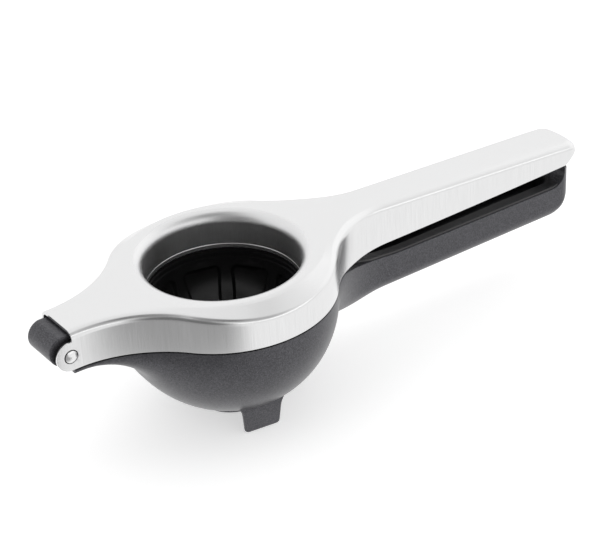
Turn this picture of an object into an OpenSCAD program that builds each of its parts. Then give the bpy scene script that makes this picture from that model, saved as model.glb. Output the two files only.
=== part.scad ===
// Hinged lemon squeezer: a stamped steel arm with a press cup, over a cast arm with a bowl.
// Inside the modules x = y = 0 is the axis of the ring and z = 0 the top of its flat plate.
// The handle points to +X and the hinge pin lies across Y at the -X end.

/* [Steel arm] */
// Outer radius of the ring
ring_r = 42; // [41.5:0.5:44]
// Thickness of the steel sheet
sheet_t = 1.2; // [0.9:0.1:1.5]
// Outer radius of the fold from the plate to the skirt
fold_r = 3; // [2.6:0.1:3.2]
// Radius of the soft crown between that fold and the plate at the sides of the ring
crown_r = 4; // [3:0.1:4.2]
// Length of the slope between fold and crown at the sides of the ring
crown_len = 5.8; // [3:0.1:6]
// Tilt of that slope in degrees
crown_tilt = 35; // [20:1:36]
// Depth of the skirt below the plate at the ring
skirt_h = 15.6; // [15.2:0.1:17]
// Extra depth of the skirt where the handle leaves the ring
skirt_dip = 2.5; // [1.5:0.1:3.5]
// How far the skirt edge rises again towards the handle end
skirt_rise = 1.4; // [0:0.1:2.4]
// How far the skirt edge rises towards the hinge
hinge_rise = 0.7; // [0:0.1:1]
// Width across the two hinge ears
tongue_w = 20.4; // [19:0.2:21]
// Distance from the ring axis to the front edge of the plate
tongue_x = 69.2; // [68:0.2:69.6]
// Plan radius that blends the ring into the tongue and into the handle
blend_r = 45; // [36:1:47]
// Width of the handle next to the ring
handle_w = 19.4; // [17:0.2:21]
// Width of the handle at its end
handle_end_w = 21.6; // [21:0.2:25]
// Distance from the ring axis to the handle end
handle_x = 167; // [158:0.5:180]
// Plan radius of the corners at the handle end
handle_corner_r = 5.6; // [4.5:0.1:7]
// Plan radius of the bowed handle end
handle_bow_r = 34; // [24:1:60]
// How far the end wall of the handle leans in towards its lower edge
end_lean = 1.7; // [0:0.1:2.2]
// Downward slope of the handle in degrees
handle_slope = 4.2; // [3:0.1:5]
// Distance from the ring axis to the start of the bend into the slope
bend_x = 41; // [39:0.5:44]
// Length of the bend
bend_len = 8; // [4:1:12]

/* [Collar] */
// Inner radius of the drawn collar
collar_r = 28.95; // [27.5:0.05:30]
// Depth of the collar below the plate
collar_h = 15.05; // [14:0.05:15.5]
// Radius of the roll from the plate into the collar
collar_roll_r = 4.5; // [3:0.1:5.5]
// Height of the thicker bead at the foot of the collar
bead_h = 1.8; // [1:0.1:3]
// How far the bead stands inside the collar wall
bead_t = 0.25; // [0.1:0.05:0.4]

/* [Hinge] */
// Distance from the ring axis to the hinge pin
hinge_x = 70.1; // [69.8:0.1:71.5]
// Outer radius of the ears
ear_r = 5.6; // [5.2:0.1:6]
// Diameter of the hinge pin
pin_d = 4.7; // [4:0.1:5]
// Height of the domed ends of the pin
pin_dome = 0.8; // [0.4:0.1:1.2]
// Outer diameter of the bush sleeve in the ear
sleeve_d = 5.4; // [5.3:0.1:5.8]
// Radius of the bush flange
flange_r = 5.3; // [4.5:0.1:5.5]
// Thickness of the bush flange between knuckle and ear
flange_t = 1.25; // [0.8:0.05:1.5]
// Radius of the knuckle's round front
knuckle_r = 6; // [5.6:0.1:6.3]
// How far the middle of that round front lies above the pin
knuckle_rise = 1.5; // [0.8:0.1:1.6]
// How far it lies in front of the pin
knuckle_lead = 0.9; // [0.4:0.1:1]
// Running clearance of the pin in the bushes, on the radius
pin_play = 0.05; // [0.03:0.01:0.08]

/* [Casting] */
// Wall of the bowl
bowl_wall = 2.8; // [2.4:0.1:3.4]
// Gap between the steel skirt and the rim of the casting
rim_gap = 0.5; // [0.4:0.1:0.8]
// Height of the straight band round the rim of the bowl
rim_band = 1.05; // [0.6:0.05:2]
// How far the bowl's underside is shifted towards the hinge
bowl_shift = 0.75; // [0:0.05:1]
// Thickness of the neck under the ears
neck_t = 1.6; // [1.4:0.1:2.4]
// Fillet between the underside of the neck and the bowl
neck_fillet_r = 33; // [24:1:35]
// Height of the whole squeezer above the surface that it stands on
stand_h = 62; // [60:0.5:66]
// Depth of the lower handle's underside below the plate
grip_bottom = 39.4; // [37:0.2:41]
// Depth of the lower handle's rim below the plate, next to the bowl
grip_rim = 24.2; // [22.5:0.1:26]
// How much deeper that rim lies at the far end
grip_rim_fall = 1.0; // [0:0.1:1.5]
// How far each side of the lower handle stands proud of the upper one
grip_proud = 0.3; // [0:0.1:0.8]
// Radius along the lower edges of the lower handle
grip_corner_r = 6; // [4:0.5:7.5]
// Wall of the lower handle
grip_wall = 2.2; // [1.8:0.1:2.6]
// Distance from the ring axis to the end of the lower handle
grip_x = 162.3; // [150:0.1:163.5]
// Radius of the turned-up end of the lower handle
grip_end_r = 10.7; // [8:0.1:13]
// Depth of the end lip's top below the plate
lip_top = 17.8; // [17.4:0.1:20]
// Thickness of the end lip
lip_t = 4.4; // [3.5:0.1:6]
// Radius inside the foot of the end lip
lip_fillet_r = 6.6; // [4:0.1:8]

/* [Lugs and outlet] */
// Outer radius of the lugs where they leave the bowl
lug_top_r = 29.2; // [27:0.1:31]
// Outer radius of the lugs at their feet
lug_foot_r = 26.5; // [24:0.1:28]
// Thickness of a lug where it leaves the bowl
lug_top_t = 4; // [3:0.1:5]
// Thickness of a lug at its foot
lug_foot_t = 2.6; // [2:0.1:3.5]
// Angle that one lug spans, in degrees
lug_span = 32; // [20:1:40]
// Angle from the handle side to each of the two side lugs
lug_angle = 98.5; // [90:0.5:120]
// Radius of the outlet bore
outlet_r = 10; // [8:0.5:12]
// Wall of the outlet collar
outlet_wall = 2.8; // [1.8:0.1:3]
// Height of the outlet's lip above the feet
outlet_clear = 0.3; // [0.2:0.1:2]
// Height of the outlet collar, up into the bowl's wall
outlet_h = 8; // [6:0.5:9]
// Height of the lugs' straight outer faces above the feet
lug_h = 14.5; // [10:0.5:16]

/* [Press cup] */
// Step from the collar wall in to the cup wall
cup_step = 0.95; // [0.7:0.05:1.4]
// Wall of the cup
cup_wall = 3; // [2.6:0.1:3.4]
// Radial clearance of the cup's upstand round the collar
cup_play = 0.2; // [0.1:0.05:0.3]
// Height of the cup's upstand round the collar
cup_grip_h = 6.5; // [4:0.5:8]
// Thickness of that upstand
cup_grip_t = 1.9; // [1.4:0.1:2.4]
// Number of recessed panels inside the cup
panel_count = 9; // [7:1:10]
// Angle that one panel spans, in degrees
panel_span = 30; // [24:1:32]
// Depth of the panels' top edge below the plate
panel_top = 22.3; // [21:0.1:25]
// Depth of the panels' lower edge below the plate
panel_bottom = 38; // [34:0.5:40]
// How deep the panels are sunk
panel_depth = 1.3; // [0.8:0.1:1.6]
// Corner radius of the panels
panel_corner_r = 2.2; // [1.5:0.1:3]
// Direction of the first panel from the handle side, in degrees
panel_turn = 35.5; // [0:0.5:40]
// How far the pressing ribs stand out under the cup
rib_h = 1.2; // [0.8:0.1:1.8]
// Width of a pressing rib
rib_w = 2.2; // [1.6:0.1:3]

/* [Strainer insert] */
// Wall of the strainer insert
strainer_wall = 1.8; // [1.4:0.1:2.2]
// Clearance between the strainer insert and the bowl
strainer_play = 0.3; // [0.2:0.05:0.4]
// Thickness of the insert's rim
strainer_rim_t = 1.1; // [0.9:0.1:1.4]
// Width of the seat for that rim in the bowl
strainer_seat = 1.2; // [0.9:0.1:1.4]
// Number of long slots in the floor of the insert
slot_count = 8; // [6:1:10]
// Width of a slot
slot_w = 2; // [1.5:0.1:2.4]

/* [Handle liner] */
// Half width of the trough in the liner
trough_half_w = 5.9; // [5:0.1:6.1]
// Depth of the trough's floor below the plate
trough_floor = 33.6; // [31:0.1:34]
// Thickness of the liner's flange on the casting's rim
liner_flange_t = 0.8; // [0.6:0.1:1.2]
// How far the flange stays inside the casting's side
liner_inset = 0.45; // [0.2:0.05:0.8]
// Clearance round the liner in the casting
liner_play = 0.15; // [0.1:0.05:0.25]
// Distance from the ring axis to the near end of the liner
liner_x = 47; // [46:0.5:52]

/* [Hidden] */
$fn = 96;

ring_steps = 22;
blend_steps = 8;
handle_steps = 9;
corner_steps = 5;
bow_steps = 2;
fold_steps = 4;
crown_steps = 3;
arc_steps = 11;
min_crown = 0.05;

bowl_z = -(skirt_h + rim_gap + rim_band);
bowl_in_r = ring_r - bowl_wall;
neck_z = -(skirt_h - hinge_rise + rim_gap + neck_t);
pin_z = -(skirt_h - hinge_rise - ear_r);
pin_r = pin_d / 2;
ear_inner_y = tongue_w / 2 - sheet_t;
flange_play = 0.05;
knuckle_y = ear_inner_y - flange_t - flange_play;
knuckle_front_x = -hinge_x - knuckle_lead - knuckle_r;
bore_ease = 0.02;
mid_x = (handle_x + min(-hinge_x - ear_r, knuckle_front_x)) / 2;

// Puts a piece into the outer frame: bottom centre of the closed squeezer
module placed()
  translate([-mid_x, 0, stand_h])
    children();

function mix(a, b, t) = a + (b - a) * t;
function clamp01(t) = min(1, max(0, t));
function ease(t) = let (u = clamp01(t)) u * u * (3 - 2 * u);
function ease_out(t) = 1 - pow(1 - clamp01(t), 2);
function flat(lists) = [for (list = lists) each list];

// ---- Plan outline, shared by the two arms ----

// One half of the plan, from the hinge to the middle of the handle end.
// Each station is [x, y, normal x, normal y].
function half_outline(tongue_half, grip_half, end_half, end_x, corner_r, bow_r) =
  let (
    front_c = [-sqrt(pow(ring_r + blend_r, 2) - pow(tongue_half + blend_r, 2)), tongue_half + blend_r],
    back_c = [sqrt(pow(ring_r + blend_r, 2) - pow(grip_half + blend_r, 2)), grip_half + blend_r],
    front_a = atan2(front_c[1], front_c[0]),
    back_a = atan2(back_c[1], back_c[0]),
    bow_c = end_x - bow_r,
    corner_y = end_half - corner_r,
    corner_x = bow_c + sqrt(pow(bow_r - corner_r, 2) - corner_y * corner_y),
    bow_a = atan2(corner_y, corner_x - bow_c),
    front_x = min(-tongue_x, front_c[0] - 0.6)
  )
  concat(
    [for (i = [0:2]) [mix(front_x, front_c[0], i / 3), tongue_half, 0, 1]],
    [for (i = [0:blend_steps - 1])
      let (a = mix(-90, front_a - 180, i / blend_steps))
      [front_c[0] + blend_r * cos(a), front_c[1] + blend_r * sin(a), -cos(a), -sin(a)]],
    [for (i = [0:ring_steps])
      let (a = mix(front_a, back_a, i / ring_steps))
      [ring_r * cos(a), ring_r * sin(a), cos(a), sin(a)]],
    [for (i = [1:blend_steps])
      let (a = mix(180 + back_a, 270, i / blend_steps))
      [back_c[0] + blend_r * cos(a), back_c[1] + blend_r * sin(a), -cos(a), -sin(a)]],
    [for (i = [1:handle_steps - 1])
      [mix(back_c[0], corner_x, i / handle_steps), mix(grip_half, end_half, i / handle_steps), 0, 1]],
    [for (i = [0:corner_steps])
      let (a = mix(90, bow_a, i / corner_steps))
      [corner_x + corner_r * cos(a), corner_y + corner_r * sin(a), cos(a), sin(a)]],
    [for (i = [1:bow_steps])
      let (a = mix(bow_a, 0, i / bow_steps))
      [bow_c + bow_r * cos(a), bow_r * sin(a), cos(a), sin(a)]]
  );

function mirrored(s) = [s[0], -s[1], s[2], -s[3]];

// ---- Steel arm ----

// Height of the plate: level over the ring, then bent down along the handle
function plate_z(x) =
  let (past = x - bend_x)
  past <= 0 ? 0 :
  past < bend_len ? -tan(handle_slope) * past * past / (2 * bend_len) :
  -tan(handle_slope) * (past - bend_len / 2);

// Height of the skirt's lower edge
skirt_front_x = 38;
skirt_dip_start = 27;
skirt_dip_end = 52;
function skirt_z(x) =
  -skirt_h
  + hinge_rise * ease((-x - skirt_front_x) / (tongue_x - skirt_front_x))
  - skirt_dip * ease((x - skirt_dip_start) / (skirt_dip_end - skirt_dip_start))
  + skirt_rise * pow(clamp01((x - skirt_dip_end) / (handle_x - skirt_dip_end)), 2);

// How strongly the edge is crowned: fully at the sides of the ring, hardly along the middle
function crown_share(y) = max(min_crown, pow(y / ring_r, 2));

// Edge profile as [inset, depth] pairs, from the skirt over fold and crown to the plate,
// for the face at a depth of t in the sheet
function fold_profile(share, t) =
  let (
    tilt = crown_tilt * share,
    run = crown_len * share,
    drop = crown_r * (1 - cos(tilt)) + run * sin(tilt) + fold_r * cos(tilt),
    reach = fold_r * (1 - sin(tilt)) + run * cos(tilt) + crown_r * sin(tilt)
  )
  concat(
    [for (i = [0:fold_steps])
      let (a = mix(90, tilt, i / fold_steps))
      [fold_r * (1 - sin(a)) + t * sin(a), fold_r * cos(a) - drop - t * cos(a)]],
    [for (i = [0:crown_steps])
      let (a = mix(tilt, 0, i / crown_steps))
      [reach - crown_r * sin(a) + t * sin(a), -crown_r * (1 - cos(a)) - t * cos(a)]]
  );

function fold_point(s, p) =
  let (x = s[0] - s[2] * p[0], y = s[1] - s[3] * p[0])
  [x, y, plate_z(x) + p[1]];

function lean_in(s) = s[0] > handle_x / 2 ? end_lean * s[2] * s[2] : 0;

function skirt_points(s, t) =
  let (low = t + lean_in(s))
  concat(
    [[s[0] - s[2] * low, s[1] - s[3] * low, skirt_z(s[0])]],
    [for (p = fold_profile(crown_share(s[1]), t)) fold_point(s, p)]
  );

// The folded sheet: a ribbon of skirt and fold all round, with the plate spanning it
module folded_sheet() {
  half = half_outline(tongue_w / 2, handle_w / 2, handle_end_w / 2, handle_x,
                      handle_corner_r, handle_bow_r);
  mid = len(half) - 1;
  last = 2 * mid;
  stations = concat(half, [for (i = [1:mid]) mirrored(half[mid - i])]);
  rows = fold_steps + crown_steps + 3;
  top = rows - 1;
  points = flat([for (s = stations) concat(skirt_points(s, 0), skirt_points(s, sheet_t))]);
  out = function(s, j) s * 2 * rows + j;
  in = function(s, j) (s * 2 + 1) * rows + j;
  walls = [for (s = [0:last - 1], j = [0:top - 1]) each [
    [out(s, j), out(s + 1, j), out(s + 1, j + 1)],
    [out(s, j), out(s + 1, j + 1), out(s, j + 1)],
    [in(s, j), in(s + 1, j + 1), in(s + 1, j)],
    [in(s, j), in(s, j + 1), in(s + 1, j + 1)]]];
  edges = [for (s = [0:last - 1]) each [
    [out(s, 0), in(s, 0), in(s + 1, 0)],
    [out(s, 0), in(s + 1, 0), out(s + 1, 0)]]];
  plate = [for (i = [0:mid - 1]) each [
    [out(i, top), out(i + 1, top), out(last - i, top)],
    [in(i, top), in(last - i, top), in(i + 1, top)]]];
  plate_rest = [for (i = [0:mid - 2]) each [
    [out(i + 1, top), out(last - i - 1, top), out(last - i, top)],
    [in(i + 1, top), in(last - i, top), in(last - i - 1, top)]]];
  front = [for (j = [0:top - 1]) each [
    [out(0, j), out(0, j + 1), in(0, j + 1)],
    [out(0, j), in(0, j + 1), in(0, j)],
    [in(last, j), in(last, j + 1), out(last, j + 1)],
    [in(last, j), out(last, j + 1), out(last, j)]]];
  front_top = [
    [out(0, top), out(last, top), in(last, top)],
    [out(0, top), in(last, top), in(0, top)]];
  polyhedron(points = points, faces = concat(walls, edges, plate, plate_rest, front, front_top));
}

// The collar drawn down from the edge of the hole, with its rolled top and its bead
module drawn_collar() {
  roll_c = [collar_r + collar_roll_r, -collar_roll_r];
  arc = function(r, a0, a1)
    [for (i = [0:8]) let (a = mix(a0, a1, i / 8)) roll_c + r * [cos(a), sin(a)]];
  foot = -collar_h;
  bead_r = collar_r - bead_t;
  rotate_extrude()
    polygon(concat(
      arc(collar_roll_r, 90, 180),
      [[collar_r, foot + bead_h], [bead_r, foot + bead_h - bead_t], [bead_r, foot + bead_t],
       [bead_r + bead_t, foot], [collar_r + sheet_t, foot]],
      arc(collar_roll_r - sheet_t, 180, 90)
    ));
}

module hinge_ears()
  for (side = [-1, 1])
    translate([-hinge_x, side * (ear_inner_y + sheet_t / 2), pin_z])
      rotate([90, 0, 0])
        cylinder(r = ear_r, h = sheet_t, center = true);

module across_hinge(r, length)
  translate([-hinge_x, 0, pin_z])
    rotate([90, 0, 0])
      cylinder(r = r, h = length, center = true);

module upper_arm()
  color("silver")
    placed()
      difference() {
        union() {
          difference() {
            folded_sheet();
            translate([0, 0, -2 * sheet_t])
              cylinder(r = collar_r + collar_roll_r, h = 3 * sheet_t);
          }
          drawn_collar();
          hinge_ears();
        }
        across_hinge(sleeve_d / 2 + bore_ease, 2 * tongue_w);
      }

// ---- Press cup ----

cup_in_r = collar_r - cup_step;
cup_out_r = cup_in_r + cup_wall;
shelf_z = -collar_h - 0.1;
cup_z = shelf_z - 1.85;
rib_start_r = 9;
rib_top = 3;
cup_shoulder = 0.6;

module cup_body() {
  grip_in = collar_r + sheet_t + cup_play;
  grip_out = grip_in + cup_grip_t;
  grip_top = shelf_z + cup_grip_h;
  rotate_extrude()
    polygon([
      [0, cup_z], [cup_out_r, cup_z], [grip_out, cup_z + cup_shoulder], [grip_out, grip_top],
      [grip_in, grip_top], [grip_in, shelf_z], [0, shelf_z]]);
  intersection() {
    translate([0, 0, cup_z])
      sphere(r = cup_out_r);
    translate([0, 0, cup_z - 2 * cup_out_r])
      cylinder(r = 2 * cup_out_r, h = 2 * cup_out_r);
  }
}

// Outline of one panel as seen along a radius of the cup
function panel_outline() =
  let (
    top_half = cup_in_r * cos(asin((panel_top + cup_z) / cup_in_r)) * sin(panel_span / 2) - panel_corner_r,
    low_half = cup_in_r * cos(asin((panel_bottom + cup_z) / cup_in_r)) * sin(panel_span / 2) - panel_corner_r,
    top_y = -panel_top - panel_corner_r,
    low_y = -panel_bottom + panel_corner_r,
    lean = atan((top_half - low_half) / (top_y - low_y)),
    half = concat(
      [for (i = [0:4]) let (a = mix(-90, -lean, i / 4)) [low_half, low_y] + panel_corner_r * [cos(a), sin(a)]],
      [for (i = [0:4]) let (a = mix(-lean, 90, i / 4)) [top_half, top_y] + panel_corner_r * [cos(a), sin(a)]]
    )
  )
  concat(half, [for (i = [len(half) - 1:-1:0]) [-half[i][0], half[i][1]]]);

// The tile of wall that one panel takes out, a little longer on its inner side
module panel_tile()
  difference() {
    intersection() {
      translate([0, 0, cup_z])
        sphere(r = cup_in_r + panel_depth);
      rotate([90, 0, 90])
        translate([0, 0, cup_in_r / 2])
          linear_extrude(cup_out_r)
            polygon(panel_outline());
    }
    translate([0, 0, cup_z])
      sphere(r = cup_in_r - panel_depth);
  }

module panels()
  for (i = [0:panel_count - 1])
    rotate([0, 0, panel_turn + i * 360 / panel_count])
      panel_tile();

// Ribs under the cup that bite into the fruit, one below each bar between two panels
module pressing_ribs()
  for (i = [0:panel_count - 1])
    rotate([0, 0, panel_turn + (i + 0.5) * 360 / panel_count])
      intersection() {
        translate([0, 0, cup_z])
          rotate([90, 0, 0])
            cylinder(r = cup_out_r + rib_h, h = rib_w, center = true);
        translate([rib_start_r, -rib_w, cup_z - 2 * cup_out_r])
          cube([cup_out_r, 2 * rib_w, 2 * cup_out_r - rib_top]);
      }

// Steps where the cup's wall meets the collar, as [extra radius, height above its centre]
cup_steps = [[0.35, -1.4], [0.7, 0.5]];

module press_cup()
  color([0.03, 0.03, 0.035])
    placed()
      difference() {
        union() {
          cup_body();
          pressing_ribs();
        }
        translate([0, 0, cup_z])
          sphere(r = cup_in_r);
        for (s = cup_steps)
          translate([0, 0, cup_z + s[1]])
            cylinder(r = cup_in_r + s[0], h = collar_h);
        panels();
      }

// ---- Cast arm ----

grip_half = handle_w / 2 + grip_proud;
grip_end_half = handle_end_w / 2 + grip_proud;
grip_outline = half_outline(tongue_w / 2, grip_half, grip_end_half, grip_x,
                            handle_corner_r, handle_bow_r);
rim_drop_x = 42;
rim_drop_len = 36;
lip_x = grip_x - lip_t;
lip_start_x = lip_x - lip_fillet_r;
lip_lean = 3.75;

// Places along the casting, closer together where its rim rises into the end lip
cast_x = concat(
  [for (s = grip_outline) if (s[0] < lip_start_x - 1) s[0]],
  [for (a = [0:15:90]) lip_start_x + lip_fillet_r * sin(a)],
  [for (i = [0:len(grip_outline) - 1 - bow_steps]) if (grip_outline[i][0] > lip_x + 0.3) grip_outline[i][0]]);
function grip_half_at(x) = lookup(x, [for (s = grip_outline) [s[0], s[1]]]);

// Depth line of the lower handle's rim
function grip_rim_z(x) =
  -grip_rim - grip_rim_fall * clamp01((x - rim_drop_x - rim_drop_len) / (lip_x - rim_drop_x - rim_drop_len));

// Rise of the rim into the end lip, and its fall down the lip's outer face
function lip_rise(x) =
  let (reach = clamp01((x - lip_x + lip_fillet_r) / lip_fillet_r))
  lip_fillet_r * (1 - sqrt(1 - reach * reach));

function rim_z(x) =
  x < rim_drop_x ? skirt_z(x) - rim_gap :
  x < lip_x ? mix(skirt_z(rim_drop_x) - rim_gap, grip_rim_z(x), ease_out((x - rim_drop_x) / rim_drop_len))
              + lip_rise(x) :
  -lip_top - lip_lean * max(0, x - grip_x + lip_t / 2);

// Underside of the casting along its middle
neck_fillet_x = -bowl_shift - sqrt(pow(ring_r + neck_fillet_r, 2) - pow(neck_fillet_r + bowl_z - neck_z, 2));
neck_fillet_z = neck_z - neck_fillet_r;
neck_end_x = -bowl_shift + (neck_fillet_x + bowl_shift) * ring_r / (ring_r + neck_fillet_r);
function bowl_under_z(x) = bowl_z - sqrt(max(0, pow(ring_r, 2) - pow(x + bowl_shift, 2)));
function under_z(x) =
  x < neck_fillet_x ? neck_z :
  x < neck_end_x ? neck_fillet_z + sqrt(pow(neck_fillet_r, 2) - pow(x - neck_fillet_x, 2)) :
  x < 0 ? bowl_under_z(x) :
  x < grip_x - grip_end_r ? min(bowl_under_z(x), -grip_bottom) :
  grip_end_r - grip_bottom - sqrt(max(0, pow(grip_end_r, 2) - pow(x - grip_x + grip_end_r, 2)));

// Radius of the casting's lower edges: a full round under the bowl
neck_edge_r = 1.2;
full_round_x = 30;
round_end_x = 60;
min_cast_h = 1.5;
function edge_r(x, half) =
  x < 0 ? mix(neck_edge_r, half, ease((x - neck_fillet_x) / (-full_round_x - neck_fillet_x))) :
  mix(half, grip_corner_r, ease((x - full_round_x) / (round_end_x - full_round_x)));

// Closed section of the casting at one place along it
function cast_section(x, half, top, bottom, corner) =
  let (
    r = min(corner, 0.998 * half, 0.9 * (top - bottom)),
    side = concat([[x, half, top]],
      [for (i = [0:arc_steps])
        let (a = 90 * i / arc_steps)
        [x, half - r * (1 - cos(a)), bottom + r * (1 - sin(a))]])
  )
  concat(side, [for (i = [len(side) - 1:-1:0]) [x, -side[i][1], side[i][2]]]);

// Solid skinned over a row of closed sections that run along +X
module skin(sections) {
  n = len(sections);
  m = len(sections[0]);
  sides = [for (i = [0:n - 2], j = [0:m - 1])
    let (k = (j + 1) % m)
    each [
      [i * m + j, i * m + k, (i + 1) * m + k],
      [i * m + j, (i + 1) * m + k, (i + 1) * m + j]]];
  first_end = [for (j = [0:m - 1]) m - 1 - j];
  last_end = [for (j = [0:m - 1]) (n - 1) * m + j];
  polyhedron(points = flat(sections), faces = concat(sides, [first_end], [last_end]));
}

module cast_shell()
  skin([for (x = cast_x)
    let (half = grip_half_at(x), rim = rim_z(x))
    cast_section(x, half, rim, min(under_z(x), rim - min_cast_h), edge_r(x, half))]);

// Knuckle round the pin and the rib that carries it back to the bowl
knuckle_low_a = 250;
knuckle_gap = 0.8;
knuckle_len = 17;
module knuckle() {
  middle = [-hinge_x - knuckle_lead, pin_z + knuckle_rise];
  back_x = -ring_r + bowl_wall / 2;
  top = min(-sheet_t - knuckle_gap, middle[1] + 0.97 * knuckle_r);
  top_a = 180 - asin((top - middle[1]) / knuckle_r);
  sunk = neck_z + neck_t / 3;
  rotate([90, 0, 0])
    linear_extrude(2 * knuckle_y, center = true)
      polygon(concat(
        [for (i = [0:14]) middle + knuckle_r * [cos(mix(top_a, knuckle_low_a, i / 14)),
                                                sin(mix(top_a, knuckle_low_a, i / 14))]],
        [[-tongue_x + knuckle_gap, sunk], [back_x, sunk], [back_x, -skirt_h - rim_gap],
         [-hinge_x + knuckle_len, top]]));
}

// Support lug under the bowl
lug_root_h = 20;
module lug()
  rotate([0, 0, -lug_span / 2])
    rotate_extrude(angle = lug_span)
      polygon([
        [lug_top_r - lug_top_t, -stand_h + lug_root_h], [lug_foot_r - lug_foot_t, -stand_h],
        [lug_foot_r, -stand_h], [lug_top_r, -stand_h + lug_h], [lug_top_r, -stand_h + lug_root_h]]);

module outlet_collar()
  translate([0, 0, -stand_h + outlet_clear])
    cylinder(r = outlet_r + outlet_wall, h = outlet_h);

// Hollow of the bowl, with the seat for the strainer insert and the outlet bore
module bowl_hollow() {
  translate([0, 0, bowl_z])
    sphere(r = bowl_in_r);
  translate([0, 0, bowl_z])
    cylinder(r = bowl_in_r, h = ring_r);
  translate([0, 0, -skirt_h - rim_gap - strainer_rim_t])
    cylinder(r = bowl_in_r + strainer_seat, h = ring_r);
  translate([0, 0, -2 * stand_h])
    cylinder(r = outlet_r, h = 2 * stand_h + bowl_z);
}

// Hollow of the lower handle, also used drawn in for the liner and for its trough
hollow_gap = 1.2;
hollow_corner_r = 3;
hollow_tip = 0.2;
over_rim = 3;
liner_end_x = lip_x - hollow_gap;
function hollow_half(x, start_x, end_x, half) =
  let (
    near = clamp01((start_x + half - x) / half),
    far = clamp01((x - end_x + half) / half)
  )
  half * sqrt(1 - pow(max(near, far), 2)) + hollow_tip;

function hollow_stations(start_x, end_x, half) = concat(
  [for (a = [90:-18:18]) start_x + half * (1 - sin(a))],
  [for (i = [0:6]) mix(start_x + half, end_x - half, i / 6)],
  [for (a = [18:18:90]) end_x - half * (1 - sin(a))]);

module grip_hollow(start_x, end_x, half, floor_z, corner, rise)
  skin([for (x = hollow_stations(start_x, end_x, half))
    cast_section(x, hollow_half(x, start_x, end_x, half), rim_z(min(x, end_x)) + rise, floor_z, corner)]);

module lower_arm()
  color([0.27, 0.27, 0.29])
    placed()
      difference() {
        union() {
          cast_shell();
          knuckle();
          outlet_collar();
          for (a = [-lug_angle, 0, lug_angle])
            rotate([0, 0, a])
              lug();
        }
        bowl_hollow();
        grip_hollow(liner_x, liner_end_x, grip_half - grip_wall, -grip_bottom + grip_wall,
                    hollow_corner_r, over_rim);
        across_hinge(pin_r + bore_ease, 2 * tongue_w);
      }

// ---- Strainer insert ----

insert_sink = 0.1;
inner_slot = [5, 14];
outer_slot = [17, 24];
module strainer_insert() {
  out_r = bowl_in_r - strainer_play;
  in_r = out_r - strainer_wall;
  seat_z = -skirt_h - rim_gap - strainer_rim_t;
  rim_top = seat_z + strainer_rim_t - insert_sink;
  color([0.05, 0.05, 0.055])
    placed()
      difference() {
        union() {
          translate([0, 0, bowl_z])
            sphere(r = out_r);
          translate([0, 0, seat_z])
            cylinder(r = bowl_in_r + strainer_seat - strainer_play, h = strainer_rim_t - insert_sink);
        }
        translate([0, 0, bowl_z])
          sphere(r = in_r);
        translate([0, 0, bowl_z])
          cylinder(r = in_r, h = ring_r);
        translate([0, 0, rim_top])
          cylinder(r = 2 * ring_r, h = 2 * ring_r);
        for (i = [0:slot_count - 1])
          rotate([0, 0, i * 360 / slot_count])
            slot(inner_slot);
        for (i = [0:2 * slot_count - 1])
          rotate([0, 0, (i + 0.5) * 180 / slot_count])
            slot(outer_slot);
      }
}

// Radial slot with round ends, cut down through the floor
module slot(ends)
  translate([0, 0, -stand_h])
    linear_extrude(stand_h / 2)
      union() {
        translate([ends[0], -slot_w / 2])
          square([ends[1] - ends[0], slot_w]);
        for (r = ends)
          translate([r, 0])
            circle(d = slot_w);
      }

// ---- Handle liner ----

liner_lift = 0.05;
liner_flare_x = 60;
trough_start = 4;
trough_stop = 1.5;
trough_corner_r = 2.5;

// Flange along the rim of the casting, a small way above it
module liner_flange()
  skin([for (x = cast_x)
    if (x > liner_x && x < lip_start_x + lip_fillet_r / 2)
      let (half = grip_half_at(max(x, liner_flare_x)) - liner_inset, low = rim_z(x) + liner_lift)
      [[x, half, low + liner_flange_t], [x, half, low], [x, -half, low], [x, -half, low + liner_flange_t]]]);

module handle_liner()
  color([0.1, 0.1, 0.11])
    placed()
      difference() {
        union() {
          liner_flange();
          grip_hollow(liner_x + liner_play, liner_end_x - liner_play, grip_half - grip_wall - liner_play,
                      -grip_bottom + grip_wall + liner_play, hollow_corner_r, liner_flange_t / 2);
        }
        grip_hollow(liner_x + trough_start, liner_end_x - trough_stop, trough_half_w, -trough_floor,
                    trough_corner_r, over_rim);
      }

// ---- Hinge pin and bushes ----

pin_proud = 0.1;
sleeve_inset = 0.25;
module hinge_pin() {
  half = tongue_w / 2 + pin_proud;
  dome_r = (pin_r * pin_r + pin_dome * pin_dome) / (2 * pin_dome);
  color("gainsboro")
    placed()
      translate([-hinge_x, 0, pin_z])
        rotate([90, 0, 0]) {
          cylinder(r = pin_r, h = 2 * half, center = true);
          for (side = [0, 180])
            rotate([side, 0, 0])
              intersection() {
                translate([0, 0, half + pin_dome - dome_r])
                  sphere(r = dome_r);
                translate([0, 0, half])
                  cylinder(r = pin_r, h = pin_dome);
              }
        }
}

// Flanged bush: its sleeve sits in the ear and its flange against the knuckle
module hinge_bush(side)
  color([0.06, 0.06, 0.065])
    placed()
      translate([-hinge_x, side * ear_inner_y, pin_z])
        rotate([-90 * side, 0, 0])
          difference() {
            union() {
              translate([0, 0, -flange_t])
                cylinder(r = flange_r, h = flange_t);
              cylinder(r = sleeve_d / 2, h = sheet_t - sleeve_inset);
            }
            translate([0, 0, -2 * flange_t])
              cylinder(r = pin_r + pin_play, h = 4 * flange_t);
          }

module near_hinge_bush() hinge_bush(-1);
module far_hinge_bush() hinge_bush(1);

upper_arm();
press_cup();
lower_arm();
strainer_insert();
handle_liner();
hinge_pin();
near_hinge_bush();
far_hinge_bush();
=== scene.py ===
from math import acos, asin, atan, atan2, cos, degrees, pi, radians, sin, sqrt, tan

import bmesh
import bpy
from mathutils import Matrix, Vector
from mathutils.geometry import delaunay_2d_cdt


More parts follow.
